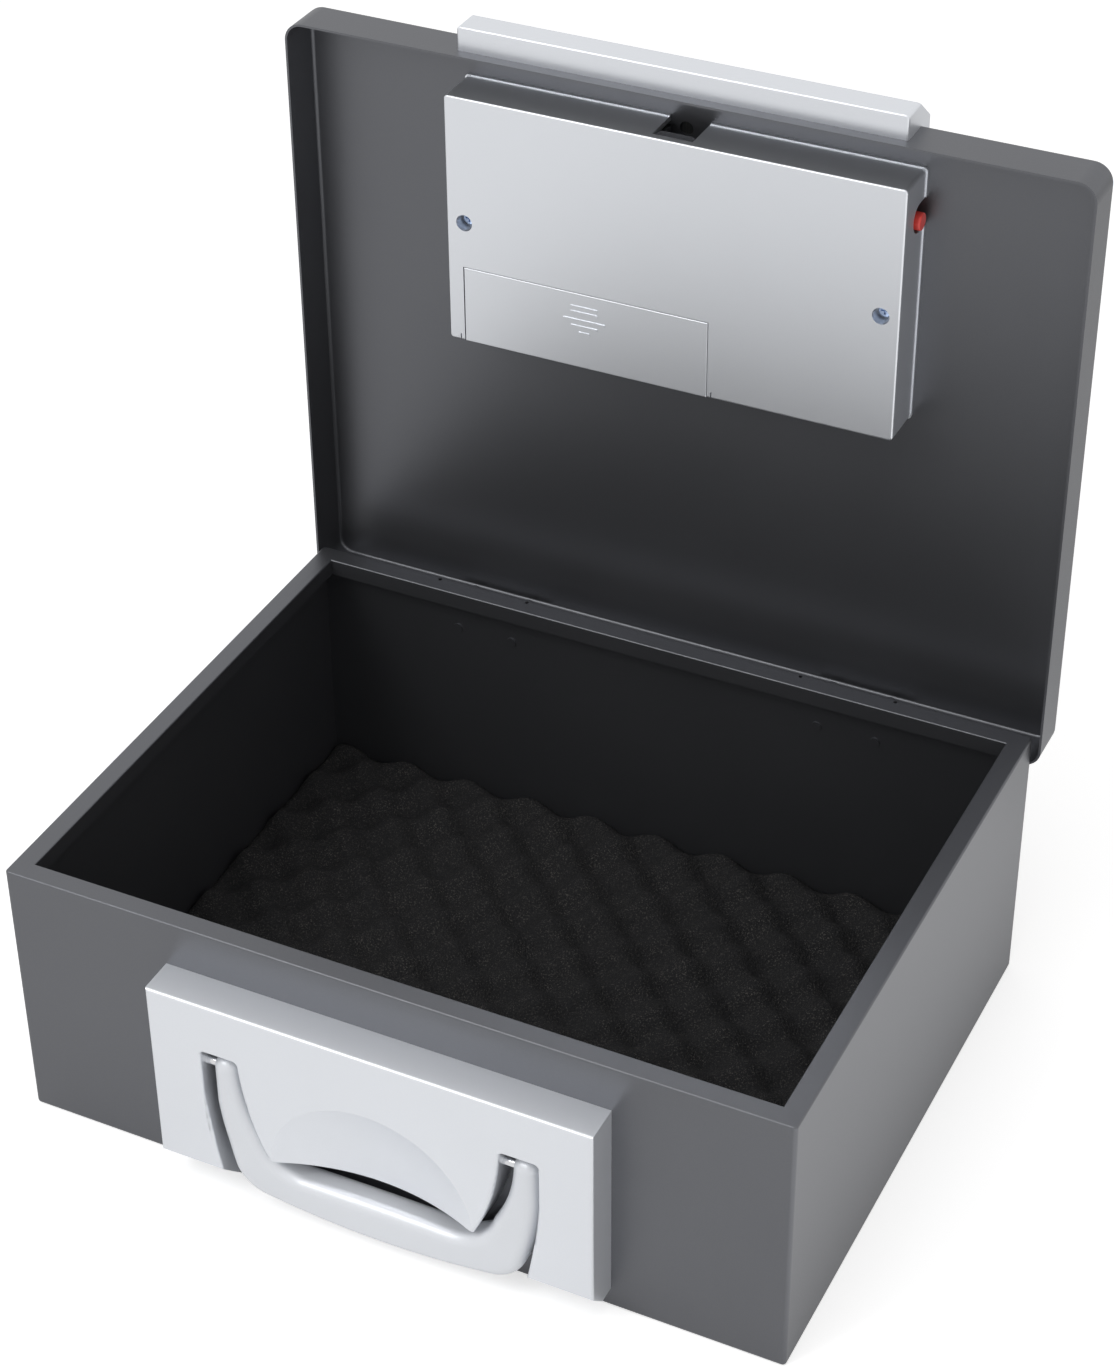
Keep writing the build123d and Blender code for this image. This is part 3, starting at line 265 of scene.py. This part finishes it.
steel = {
    "scratches": 700.0,      # to the metre
    "stretch": (1.0, 1.0, 12.0),   # how much closer they lie along each axis
    "scratchHeight": 0.00001,
    "scratchRoughness": 0.10,
    "cloud": 0.004,
    "kinds": {
        "plainSteel": {
            "colour": (0.56, 0.56, 0.56), "tint": (0.47, 0.48, 0.50), "roughness": 0.29},
        "blueZinc": {
            "colour": (0.46, 0.56, 0.72), "tint": (0.36, 0.44, 0.62), "roughness": 0.23},
        "polishedSteel": {
            "colour": (0.72, 0.72, 0.73), "tint": (0.62, 0.63, 0.65), "roughness": 0.13},
        "brassBar": {
            "colour": (0.78, 0.60, 0.30), "tint": (0.66, 0.48, 0.22), "roughness": 0.25},
        "springSteel": {
            "colour": (0.50, 0.50, 0.51), "tint": (0.38, 0.38, 0.40), "roughness": 0.31},
    },
}


def makeSteel(name):
    kind = steel["kinds"][name]
    finish = Finish(name, {"Metallic": 1.0})
    sockets = {"Vector": finish.position(), "Scale": steel["stretch"]}
    lay = finish.node("ShaderNodeMapping", {}, sockets)
    scratches = finish.noise(1.0 / steel["scratches"], detail=3.0, place=lay)
    cloud = finish.noise(steel["cloud"])
    finish.feed("Base Color", finish.mixColour(cloud, kind["tint"], kind["colour"]))
    finish.feed("Roughness", kind["roughness"] + scratches * steel["scratchRoughness"])
    finish.feed("Normal", finish.bump(scratches, steel["scratchHeight"], strength=0.3))
    return finish.material


plastic = {
    "grain": 0.0005,
    "grainHeight": 0.000015,
    "grainRoughness": 0.08,
    "cloud": 0.02,
    "cloudShare": 0.6,       # of the clouds in the colour, the grain has the rest
    "kinds": {
        "blackPlastic": {
            "colour": (0.022, 0.022, 0.024), "paler": (0.034, 0.034, 0.036), "roughness": 0.42},
        "keyPlastic": {
            "colour": (0.050, 0.051, 0.055), "paler": (0.070, 0.071, 0.075), "roughness": 0.36},
        "trayPlastic": {
            "colour": (0.028, 0.028, 0.030), "paler": (0.045, 0.045, 0.048), "roughness": 0.48},
        "greyRubber": {
            "colour": (0.20, 0.20, 0.21), "paler": (0.26, 0.26, 0.27), "roughness": 0.58},
        "whiteInk": {
            "colour": (0.80, 0.80, 0.80), "paler": (0.86, 0.86, 0.86), "roughness": 0.51},
        "redPlastic": {
            "colour": (0.95, 0.070, 0.060), "paler": (0.98, 0.120, 0.100), "roughness": 0.20},
        "windingTape": {
            "colour": (0.42, 0.14, 0.03), "paler": (0.58, 0.24, 0.07), "roughness": 0.34},
    },
}


def makePlastic(name):
    kind = plastic["kinds"][name]
    finish = Finish(name, {})
    grain = finish.noise(plastic["grain"], detail=3.0, roughness=0.6)
    cloud = finish.noise(plastic["cloud"])
    pattern = finish.blend(cloud, grain, plastic["cloudShare"])
    finish.feed("Base Color", finish.mixColour(pattern, kind["colour"], kind["paler"]))
    finish.feed("Roughness", kind["roughness"] + grain * plastic["grainRoughness"])
    finish.feed("Normal", finish.bump(grain, plastic["grainHeight"], strength=0.4))
    return finish.material


board = {
    "colour": (0.010, 0.011, 0.012),
    "copper": (0.030, 0.028, 0.024),
    "roughness": 0.35,
    "gloss": 0.6,
    "trackPitch": 0.0025,
    "trackWidth": 0.06,      # as a share of the pitch
    "blotch": 0.006,
    "blotchLevel": 0.5,      # where the noise is above this, tracks show
    "grain": 0.001,
    "grainRoughness": 0.12,
}


def makeBoard():
    finish = Finish("circuitBoard", {"Specular IOR Level": board["gloss"]})
    black, white = (0, 0, 0, 1), (1, 1, 1, 1)
    tracks = finish.node("ShaderNodeTexBrick", {}, {
        "Vector": finish.position(), "Scale": 1.0 / board["trackPitch"],
        "Mortar Size": board["trackWidth"], "Color1": black, "Color2": black, "Mortar": white,
    })
    blotch = finish.noise(board["blotch"], detail=1.0) > board["blotchLevel"]
    grain = finish.noise(board["grain"])
    finish.feed("Base Color", finish.mixColour(tracks * blotch, board["colour"], board["copper"]))
    finish.feed("Roughness", board["roughness"] + grain * board["grainRoughness"])
    return finish.material


lens = {
    "red": (0.55, 0.02, 0.015),
    "amber": (0.60, 0.30, 0.02),
    "green": (0.03, 0.42, 0.06),
    "roughness": 0.12,
    "gloss": 0.6,
    "grain": 0.0008,
    "grainHeight": 0.00001,
}


def makeLens():
    # three lenses in a row up the lid, each its own colour
    low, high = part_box("status_leds")
    look = {"Roughness": lens["roughness"], "Specular IOR Level": lens["gloss"]}
    finish = Finish("lensPlastic", look)
    up = finish.share("Z", low, high)
    upper = finish.mixColour(up > 2 / 3, lens["amber"], lens["green"])
    grain = finish.noise(lens["grain"])
    finish.feed("Base Color", finish.mixColour(up > 1 / 3, lens["red"], upper))
    finish.feed("Normal", finish.bump(grain, lens["grainHeight"], strength=0.3))
    return finish.material


cell = {
    "inRow": 2,              # cells end to end
    "sleeve": (0.05, 0.05, 0.055),
    "band": (0.55, 0.56, 0.58),
    "bandPlace": (0.68, 0.71),     # as shares of a cell's length
    "steel": (0.65, 0.65, 0.66),
    "bareEnd": 0.035,        # how much of a cell's length is bare at each end
    "endMetallic": 0.9,
    "roughness": 0.28,
    "grain": 0.001,
    "grainHeight": 0.00001,
}


def makeCellSleeve():
    low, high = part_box("batteries")
    finish = Finish("cellSleeve", {"Roughness": cell["roughness"]})
    row = finish.share("X", low, high) * cell["inRow"]
    inCell = finish.node("ShaderNodeMath", {"operation": "FRACT"}, {0: row})
    ends = (inCell > 1.0 - cell["bareEnd"]) + (cell["bareEnd"] - inCell > 0.0)
    bandStart, bandEnd = cell["bandPlace"]
    band = (inCell > bandStart) - (inCell > bandEnd)
    sleeve = finish.mixColour(band, cell["sleeve"], cell["band"])
    grain = finish.noise(cell["grain"])
    finish.feed("Base Color", finish.mixColour(ends, sleeve, cell["steel"]))
    finish.feed("Metallic", ends * cell["endMetallic"])
    finish.feed("Normal", finish.bump(grain, cell["grainHeight"], strength=0.2))
    return finish.material


lead = {
    "red": (0.50, 0.02, 0.02),
    "black": (0.02, 0.02, 0.02),
    "blackFrom": 0.8,        # the black lead lies in the last part of the leads' width
    "roughness": 0.42,
    "ripple": 0.0015,
    "rippleHeight": 0.00004,
}


def makeLead():
    low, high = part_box("battery_leads")
    finish = Finish("leadSleeve", {"Roughness": lead["roughness"]})
    isBlack = finish.share("X", low, high) > lead["blackFrom"]
    ripple = finish.noise(lead["ripple"])
    finish.feed("Base Color", finish.mixColour(isBlack, lead["red"], lead["black"]))
    finish.feed("Normal", finish.bump(ripple, lead["rippleHeight"], strength=0.3))
    return finish.material


ribbon = {
    "pale": (0.55, 0.55, 0.56),
    # painted shade in the hollows between the wires; pale is the ribbon's own grey on the crests
    "grooveShade": (0.30, 0.30, 0.31),
    "roughness": 0.5,
    "wirePitch": 0.00127,
    "wireHeight": 0.0002,
}


def makeRibbon():
    finish = Finish("ribbonSleeve", {"Roughness": ribbon["roughness"]})
    wave = finish.along("X") * (2 * math.pi / ribbon["wirePitch"])
    crest = finish.node("ShaderNodeMath", {"operation": "SINE"}, {0: wave}) * 0.5 + 0.5
    # the grey darkens towards the grooves as painted shade between the wires
    finish.feed("Base Color", finish.mixColour(crest, ribbon["grooveShade"], ribbon["pale"]))
    finish.feed("Normal", finish.bump(crest, ribbon["wireHeight"], strength=0.6))
    return finish.material


materials = [
    makePaint(), makeFoam(), makeBoard(), makeLens(), makeCellSleeve(), makeLead(), makeRibbon()]
materials += [makeSilver(name) for name in silver["kinds"]]
materials += [makeSteel(name) for name in steel["kinds"]]
materials += [makePlastic(name) for name in plastic["kinds"]]
finishes = {material.name: material for material in materials}
print("finishes made:", len(finishes))

# each key has a body of its own
keyNames = [name for name in frame["nodes"] if name + "_cap" in frame["bodies"]]

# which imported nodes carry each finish
nodesOfFinish = {
    "graphitePaint": [
        "base_shell", "lid_shell", "strike_bracket", "base_hinge_leaves", "lid_hinge_leaves",
        "base_hinge_rivets", "lid_hinge_rivets"],
    "silverPanel": ["handle_panel"],
    "silverHousing": ["console_body", "housing_cover", "battery_cover", "key_cover"],
    "silverHandle": ["carry_handle"],
    "blackPlastic": ["keypad_bezel"],
    "keyPlastic": keyNames,
    "trayPlastic": ["battery_tray"],
    "greyRubber": ["key_mat"],
    "redPlastic": ["reset_button"],
    "windingTape": ["solenoid_coil"],
    "plainSteel": [
        "hinge_pins", "console_screws", "key_cam", "lock_chassis", "bolt_guide", "solenoid_frame",
        "battery_contacts"],
    "blueZinc": ["cover_screws", "panel_screws"],
    "polishedSteel": [
        "handle_pivot_pins", "cylinder_body", "key_plug", "lock_bolt", "solenoid_plunger"],
    "brassBar": ["cylinder_nut"],
    "springSteel": ["bolt_spring"],
    "circuitBoard": ["keypad_board", "circuit_board"],
    "lensPlastic": ["status_leds"],
    "cellSleeve": ["batteries"],
    "leadSleeve": ["battery_leads"],
    "ribbonSleeve": ["keypad_ribbon"],
}
for finishName, nodeNames in nodesOfFinish.items():
    for nodeName in nodeNames:
        nodeMesh = frame["nodes"][nodeName].data
        nodeMesh.materials.clear()
        nodeMesh.materials.append(finishes[finishName])
print("nodes finished:", sum(len(nodeNames) for nodeNames in nodesOfFinish.values()))


# New pieces

def addObject(name, data):
    added = bpy.data.objects.new(name, data)
    bpy.context.scene.collection.objects.link(added)
    return added


def addMesh(name, mesh, finishName):
    mesh.materials.append(finishes[finishName])
    return addObject(name, mesh)


mat = {
    "pitch": 0.0334,         # peak to peak along a row
    "valley": 0.0090,        # foam left under the hollows
    "headroom": 0.0004,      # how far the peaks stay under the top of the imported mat
    "peakRound": 0.85,       # under 1 makes the peaks blunter than the hollows
    "edgeShare": 0.55,       # how much of its height a peak keeps at the cut edges
    "edgeFall": 0.004,       # how far inside an edge the height is full
    "wobble": 0.0003,        # the cut surface's unevenness
    "wobbleTurns": ((311.0, 173.0), (-97.0, 239.0)),     # its waves, in radians a metre
    "inset": 0.0003,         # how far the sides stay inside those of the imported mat
    "lift": 0.0001,          # and how far the underside stays above its own
    "step": 0.00209,         # spacing of the surface points
}


def eggCrateHeight(x, y, low, high):
    wave = math.cos(2 * math.pi * x / mat["pitch"]) * math.cos(2 * math.pi * y / mat["pitch"])
    lift = (0.5 + 0.5 * wave) ** mat["peakRound"]
    edge = min(x - low.x, high.x - x, y - low.y, high.y - y)
    shoulder = min(1.0, mat["edgeShare"] + (1.0 - mat["edgeShare"]) * edge / mat["edgeFall"])
    wobble = mat["wobble"]
    for turnX, turnY in mat["wobbleTurns"]:
        wobble *= math.sin(x * turnX + y * turnY)
    peak = high.z - low.z - mat["valley"] - mat["headroom"]
    height = mat["valley"] + peak * lift * shoulder + wobble
    return low.z + height


def makeFloorMat():
    low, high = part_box("floor_mat")
    inset = Vector((mat["inset"], mat["inset"], 0.0))
    low, high = low + inset, high - inset
    columns = round((high.x - low.x) / mat["step"])
    rows = round((high.y - low.y) / mat["step"])
    form = bmesh.new()
    top = []
    for row in range(rows + 1):
        y = low.y + (high.y - low.y) * row / rows
        line = []
        for column in range(columns + 1):
            x = low.x + (high.x - low.x) * column / columns
            line.append(form.verts.new((x, y, eggCrateHeight(x, y, low, high))))
        top.append(line)
    for near, far in zip(top, top[1:]):
        for column in range(columns):
            after = column + 1
            form.faces.new((near[column], near[after], far[after], far[column]))
    # the sides hang from the border of the top, taken once round, and end in the flat underside
    border = top[0][:-1]
    border += [line[-1] for line in top[:-1]]
    border += top[-1][:0:-1]
    border += [line[0] for line in top[:0:-1]]
    footHeight = low.z + mat["lift"]
    foot = [form.verts.new((vert.co.x, vert.co.y, footHeight)) for vert in border]
    for index in range(len(border)):
        after = (index + 1) % len(border)
        form.faces.new((border[after], border[index], foot[index], foot[after]))
    form.faces.new(foot[::-1])
    mesh = bpy.data.meshes.new("eggCrateMat")
    form.to_mesh(mesh)
    form.free()
    mesh.polygons.foreach_set("use_smooth", [True] * len(mesh.polygons))
    return addMesh("eggCrateMat", mesh, "openCellFoam")


floorMat = makeFloorMat()
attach(floorMat, "base")
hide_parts("floor_mat")
print("floor mat made:", len(floorMat.data.vertices), "points")


legend = {
    "size": 0.0062,
    "relief": 0.00012,
    "facets": 4,             # straight runs in each curved stretch
    "marks": {"star": "*", "hash": "#"},
}


def makeLegend(keyName):
    # a printed mark on the cap, upright for someone in front of the closed box
    low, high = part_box(keyName)
    word = keyName.removeprefix("key_")
    curve = bpy.data.curves.new("mark_" + word, "FONT")
    curve.body = legend["marks"].get(word, word)
    curve.size = legend["size"]
    curve.align_x = "CENTER"
    curve.align_y = "CENTER"
    curve.extrude = legend["relief"] / 2
    curve.resolution_u = legend["facets"]
    text = addObject("markText", curve)
    middle = Vector(((low.x + high.x) / 2, high.y, (low.z + high.z) / 2))
    text.matrix_world = Matrix.Translation(middle) @ Matrix.Rotation(-math.pi / 2, 4, "X")
    bpy.context.view_layer.update()
    mesh = bpy.data.meshes.new_from_object(text)
    mesh.transform(text.matrix_world)
    bpy.data.objects.remove(text)
    bpy.data.curves.remove(curve)
    mesh.materials.clear()
    return addMesh("mark_" + word, mesh, "whiteInk")


for keyName in keyNames:
    mark = makeLegend(keyName)
    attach(mark, keyName + "_cap")
print("key marks made:", len(keyNames))


# Floor, light and camera

studio = {
    "floorSize": 9.0,
    "floorColour": (0.82, 0.82, 0.82),
    "floorGlow": 0.55,       # what the camera sees on top of the lit floor
    "mirrorGlow": 0.25,      # what reflections see on top of it
    "sideGlow": 0.44,        # how much more they see beside the box on its right
    "sideFade": {"X": (0.17, 0.23), "Y": (0.36, 0.22)},  # along each axis, from none to full
    "ambient": 0.42,
    "aim": (0.0, 0.0, 0.15),
    "lamps": {
        "frontPanel": {"place": (-1.1, -2.6, 1.5), "size": 1.8, "power": 10.0},
        "rightPanel": {
            "place": (2.5, -0.9, 1.3), "size": 1.5, "power": 9.0, "colour": (1.0, 0.95, 0.91)},
        "topPanel": {"place": (0.2, -0.4, 2.8), "size": 1.6, "power": 16.0},
        # the one lamp that shows in the gloss, as a bright line along edges that face it
        "edgePanel": {
            "place": (-0.61, -1.0, 1.39), "size": 0.65, "power": 7.5, "glossy": True},
    },
}


def makeFloor():
    half = studio["floorSize"] / 2
    corners = [(-half, -half, 0), (half, -half, 0), (half, half, 0), (-half, half, 0)]
    mesh = bpy.data.meshes.new("studioFloor")
    mesh.from_pydata(corners, [], [(0, 1, 2, 3)])
    material = bpy.data.materials.new("studioFloor")
    material.use_nodes = True
    mesh.materials.append(material)
    graph = Graph(material.node_tree)
    fades = []
    for axis, (none, full) in studio["sideFade"].items():
        sockets = {"Value": graph.along(axis), "From Min": none, "From Max": full}
        fades.append(graph.node("ShaderNodeMapRange", {}, sockets))
    mirrorGlow = fades[0] * fades[1] * studio["sideGlow"] + studio["mirrorGlow"]
    mirrored = graph.ray("Glossy") + graph.ray("Transmission")
    strength = graph.ray("Camera") * studio["floorGlow"] + mirrored * mirrorGlow
    colour = (*studio["floorColour"], 1.0)
    diffuse = graph.node("ShaderNodeBsdfDiffuse", {}, {"Color": colour})
    glow = graph.node("ShaderNodeEmission", {}, {"Strength": strength})
    both = graph.node("ShaderNodeAddShader", {}, {0: diffuse, 1: glow})
    graph.node("ShaderNodeOutputMaterial", {}, {"Surface": both})
    floor = addObject("studioFloor", mesh)


def makeWorld():
    world = bpy.data.worlds.new("studio")
    bpy.context.scene.world = world
    world.use_nodes = True
    graph = Graph(world.node_tree)
    direct = graph.ray("Camera") + graph.ray("Glossy") + graph.ray("Transmission")
    strength = studio["ambient"] + direct * (1.0 - studio["ambient"])
    sockets = {"Color": (1, 1, 1, 1), "Strength": strength}
    backdrop = graph.node("ShaderNodeBackground", {}, sockets)
    graph.node("ShaderNodeOutputWorld", {}, {"Surface": backdrop})


def makeLamp(name, lamp):
    light = bpy.data.lights.new(name, "AREA")
    light.shape = "SQUARE"
    light.size = lamp["size"]
    light.energy = lamp["power"]
    light.color = lamp.get("colour", (1.0, 1.0, 1.0))
    holder = addObject(name, light)
    place = Vector(lamp["place"])
    holder.location = place
    holder.rotation_euler = (Vector(studio["aim"]) - place).to_track_quat("-Z", "Y").to_euler()
    holder.visible_glossy = lamp.get("glossy", False)


# where the photograph was taken from
view = {
    "place": (0.4712, -0.9315, 0.9488),
    "forward": (-0.35761, 0.72594, -0.58748),
    "right": (0.89946, 0.43695, -0.00759),
    "lens": 82.5,
    "sensor": 36.0,
    "farthest": 50.0,
}


def makeCamera():
    camera = bpy.data.cameras.new("photoView")
    camera.lens = view["lens"]
    camera.sensor_width = view["sensor"]
    camera.clip_end = view["farthest"]
    holder = addObject("photoView", camera)
    back = -Vector(view["forward"]).normalized()
    right = Vector(view["right"]).normalized()
    up = back.cross(right).normalized()
    turn = Matrix((right, up, back)).transposed().to_4x4()
    holder.matrix_world = Matrix.Translation(view["place"]) @ turn
    bpy.context.scene.camera = holder


makeFloor()
makeWorld()
for lampName, lamp in studio["lamps"].items():
    makeLamp(lampName, lamp)
makeCamera()
bpy.context.scene.view_settings.view_transform = "Standard"
print("studio made")
